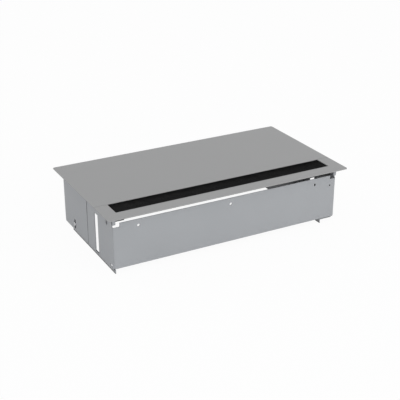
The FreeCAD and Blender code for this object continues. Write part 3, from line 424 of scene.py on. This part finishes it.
def polygon_reach(angle, sides):
    """How far a polygon's edge is from its middle, as a share of its corner radius."""
    if not sides:
        return 1.0
    sector = math.tau / sides
    return math.cos(sector / 2) / math.cos(angle % sector - sector / 2)


def add_turned(vertices, faces, at, toward, profile):
    """A closed solid round an axis that starts at a place and runs toward a direction."""
    axis = Vector(toward)
    across = axis.orthogonal().normalized()
    other = axis.cross(across)
    start = len(vertices)
    for along, radius, sides in profile:
        for step in range(TURNED_SIDES):
            angle = math.tau * step / TURNED_SIDES
            spoke = across * math.cos(angle) + other * math.sin(angle)
            reach = radius * polygon_reach(angle, sides)
            vertices.append(Vector(at) + axis * along + spoke * reach)
    add_rings(faces, start, len(profile), TURNED_SIDES)


def make_turned(node, placed, profile, material):
    """One piece with a turned solid at each (at, toward), in place of a CAD node."""
    vertices = []
    faces = []
    for at, toward in placed:
        add_turned(vertices, faces, at, toward, profile)
    piece = new_piece(f"{node}_fine", vertices, faces, False, material)
    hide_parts(node)


def threaded(start, end, radius):
    """Profile rows of a thread's ridges between two places."""
    turns = max(1, int((end - start) / THREAD_PITCH))
    pitch = (end - start) / turns
    return [(start + pitch * (turn + share), radius - depth, 0)
            for turn in range(turns) for share, depth in THREAD_RIDGE]


def scaled(rows, height, radius):
    """Profile rows from shares of a height and of a radius."""
    return [(height * along, radius * reach, sides) for along, reach, sides in rows]


def button_head(radius, height, recess):
    """Profile rows of a domed head with a six-sided recess, from its seat outwards."""
    flat = radius * DOME_FLAT
    rows = [(0, radius, 0)]
    for step in range(1, DOME_STEPS + 1):
        turn = math.pi / 2 * step / DOME_STEPS
        rows.append((height * (DOME_RIM + (1 - DOME_RIM) * math.sin(turn)),
                     flat + (radius - flat) * math.cos(turn), 0))
    return rows + scaled(HEXAGON_RECESS, height, recess)


BRACKET_HEAD_RADIUS = 2.75 * MM
BRACKET_HEAD_HEIGHT = 1.6 * MM
BRACKET_RECESS = BRACKET_HEAD_RADIUS * 0.34
BRACKET_SCREW_REACH = 3.9 * MM
SMALL_SHANK = 1.5 * MM
BOLT_SHANK = 2.0 * MM
BOLT_HEAD_RADIUS = 3.5 * MM
BOLT_HEAD_HEIGHT = 1.8 * MM
BOLT_RECESS = BOLT_HEAD_RADIUS * 0.42
CAP_HEAD_RADIUS = 2.75 * MM
CAP_HEAD_HEIGHT = 1.6 * MM
CAP_SCREW_REACH = 7.5 * MM
LEFTWARDS = (-1, 0, 0)
RIGHTWARDS = (1, 0, 0)
FRONTWARDS = (0, -1, 0)


def make_bracket_screws(material):
    low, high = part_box("bracket_screws")
    axis = (low + high) / 2
    profile = threaded(-BRACKET_SCREW_REACH, 0, SMALL_SHANK) + button_head(
        BRACKET_HEAD_RADIUS, BRACKET_HEAD_HEIGHT, BRACKET_RECESS)
    placed = [((low.x + BRACKET_HEAD_HEIGHT, axis.y, axis.z), LEFTWARDS),
              ((high.x - BRACKET_HEAD_HEIGHT, axis.y, axis.z), RIGHTWARDS)]
    make_turned("bracket_screws", placed, profile, material)


def make_carrier_bolt(material):
    low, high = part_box("carrier_bolt")
    axis = (low + high) / 2
    shank = high.x - low.x - BOLT_HEAD_HEIGHT
    profile = threaded(-shank, 0, BOLT_SHANK) + button_head(
        BOLT_HEAD_RADIUS, BOLT_HEAD_HEIGHT, BOLT_RECESS)
    placed = [((low.x + BOLT_HEAD_HEIGHT, axis.y, axis.z), LEFTWARDS)]
    make_turned("carrier_bolt", placed, profile, material)


def make_cap_screws(material):
    low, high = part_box("cap_screws")
    axis = (low + high) / 2
    profile = threaded(-CAP_SCREW_REACH, 0, SMALL_SHANK) + scaled(
        HEXAGON_HEAD, CAP_HEAD_HEIGHT, CAP_HEAD_RADIUS)
    placed = [((x, axis.y, z), toward)
              for x, toward in ((low.x + CAP_SCREW_REACH, RIGHTWARDS),
                                (high.x - CAP_SCREW_REACH, LEFTWARDS))
              for z in (low.z + CAP_HEAD_RADIUS, high.z - CAP_HEAD_RADIUS)]
    make_turned("cap_screws", placed, profile, material)


def make_earth_stud(material):
    low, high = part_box("earth_stud")
    axis = (low + high) / 2
    profile = threaded(0, high.y - low.y, BOLT_SHANK)
    placed = [((axis.x, high.y, axis.z), FRONTWARDS)]
    make_turned("earth_stud", placed, profile, material)


# Data ports: sprung contact wires under each port's ceiling.
# The wire's rows are (distance behind the jack's front, drop below the ceiling).

JACKS = 4
PORT_HEIGHT = 8.2 * MM
CONTACTS = 8
CONTACT_PITCH = 1.02 * MM
CONTACT_RADIUS = 0.23 * MM
CONTACT_WIRE = (
    (2.5 * MM, 0),
    (3.25 * MM, 0.384 * MM),
    (8.8 * MM, 2.88 * MM),
    (11.0 * MM, 3.2 * MM),
)


def make_port_contacts(material):
    vertices = []
    faces = []
    for jack in range(1, JACKS + 1):
        low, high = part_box(f"data_jack_{jack}")
        centre = (low + high) / 2
        ceiling = centre.z + PORT_HEIGHT / 2 - CONTACT_RADIUS
        for number in range(CONTACTS):
            x = centre.x + (number - (CONTACTS - 1) / 2) * CONTACT_PITCH
            line = [Vector((x, low.y + behind, ceiling - drop)) for behind, drop in CONTACT_WIRE]
            add_strand(vertices, faces, line, CONTACT_RADIUS)
    new_piece("port_contacts", vertices, faces, True, material)


# Studio: pale floor, soft light, and the photograph's camera

CAMERA_PLACE = (-0.7777, -1.4386, 0.785)
CAMERA_PITCH = 0.42454
CAMERA_YAW = 0.49602
CAMERA_LENS = 82.31
CAMERA_SENSOR = 36
CAMERA_CLIP = (0.05, 60)
WHITE = (1, 1, 1)
AMBIENT = 0.61
AMBIENT_TINT = (0.985, 0.99, 1)
FLOOR_SIDE = 30.0
FLOOR_MATT = (0.9, 0.9, 0.9)
FLOOR_WHITE = 0.95
LAMP_AIM = (0, 0, 0.06)


def make_camera():
    camera = add_object("camera", bpy.data.cameras.new("camera"))
    camera.location = CAMERA_PLACE
    camera.rotation_euler = (math.pi / 2 - CAMERA_PITCH, 0, -CAMERA_YAW)
    camera.data.sensor_width = CAMERA_SENSOR
    camera.data.lens = CAMERA_LENS
    camera.data.clip_start, camera.data.clip_end = CAMERA_CLIP
    bpy.context.scene.camera = camera


def seen_directly(tree):
    """1 for camera, glossy and transmission rays, 0 for the rays that light things."""
    path = tree.nodes.new("ShaderNodeLightPath")
    total = path.outputs["Is Camera Ray"]
    for name in ("Is Glossy Ray", "Is Transmission Ray"):
        both = tree.nodes.new("ShaderNodeMath")
        both.operation = "MAXIMUM"
        tree.links.new(total, both.inputs[0])
        tree.links.new(path.outputs[name], both.inputs[1])
        total = both.outputs[0]
    return total


def blend_by_ray(tree, share, lighting, seen, output):
    """Send a blend of two shaders to an output; the share is that of the one seen directly."""
    mix = tree.nodes.new("ShaderNodeMixShader")
    tree.links.new(share, mix.inputs[0])
    tree.links.new(lighting.outputs[0], mix.inputs[1])
    tree.links.new(seen.outputs[0], mix.inputs[2])
    tree.links.new(mix.outputs[0], tree.nodes[output].inputs["Surface"])


def make_world():
    world = bpy.data.worlds.new("studio")
    bpy.context.scene.world = world
    world.use_nodes = True
    tree = world.node_tree
    ambient = tree.nodes["Background"]
    ambient.inputs["Color"].default_value = (*AMBIENT_TINT, 1)
    ambient.inputs["Strength"].default_value = AMBIENT
    white = tree.nodes.new("ShaderNodeBackground")
    white.inputs["Color"].default_value = (*WHITE, 1)
    white.inputs["Strength"].default_value = 1.0
    blend_by_ray(tree, seen_directly(tree), ambient, white, "World Output")


def make_floor():
    """A matt floor that looks white where it is seen, and still shows the object's shadow."""
    half = FLOOR_SIDE / 2
    mesh = bpy.data.meshes.new("floor")
    corners = [(-half, -half, 0), (half, -half, 0), (half, half, 0), (-half, half, 0)]
    mesh.from_pydata(corners, [], [(0, 1, 2, 3)])
    material = bpy.data.materials.new("floor_white")
    material.use_nodes = True
    tree = material.node_tree
    matt = tree.nodes.new("ShaderNodeBsdfDiffuse")
    matt.inputs["Color"].default_value = (*FLOOR_MATT, 1)
    glow = tree.nodes.new("ShaderNodeEmission")
    glow.inputs["Color"].default_value = (*WHITE, 1)
    glow.inputs["Strength"].default_value = 1.0
    share = tree.nodes.new("ShaderNodeMath")
    share.operation = "MULTIPLY"
    share.inputs[1].default_value = FLOOR_WHITE
    tree.links.new(seen_directly(tree), share.inputs[0])
    blend_by_ray(tree, share.outputs[0], matt, glow, "Material Output")
    mesh.materials.append(material)
    add_object("floor", mesh)


def softbox(name, place, side, power, tint=WHITE):
    """A square lamp of a power in watts that faces the object."""
    lamp = bpy.data.lights.new(name, "AREA")
    lamp.shape = "SQUARE"
    lamp.size = side
    lamp.energy = power
    lamp.color = tint
    holder = add_object(name, lamp)
    holder.location = place
    away = Vector(place) - Vector(LAMP_AIM)
    holder.rotation_euler = away.to_track_quat("Z", "Y").to_euler()


def make_lights():
    softbox("key", (-1.4, -3.2, 1.3), side=2.4, power=34, tint=(0.95, 0.99, 1))
    softbox("fill", (2.0, -3.0, 1.3), side=2.4, power=36, tint=(1, 0.985, 0.965))
    softbox("rear", (-1.4, 3.2, 2.0), side=2.4, power=10)
    softbox("top", (0.6, -0.4, 3.4), side=2.6, power=3)


def main():
    bpy.context.scene.view_settings.view_transform = "Standard"
    make_camera()
    make_world()
    make_floor()
    make_lights()
    materials = make_materials()
    dress_nodes(materials)
    make_bristles(materials["bristle"])
    make_bracket_screws(materials["case_grey"])
    make_carrier_bolt(materials["zinc"])
    make_cap_screws(materials["zinc"])
    make_earth_stud(materials["zinc"])
    make_port_contacts(materials["contact_gold"])


main()
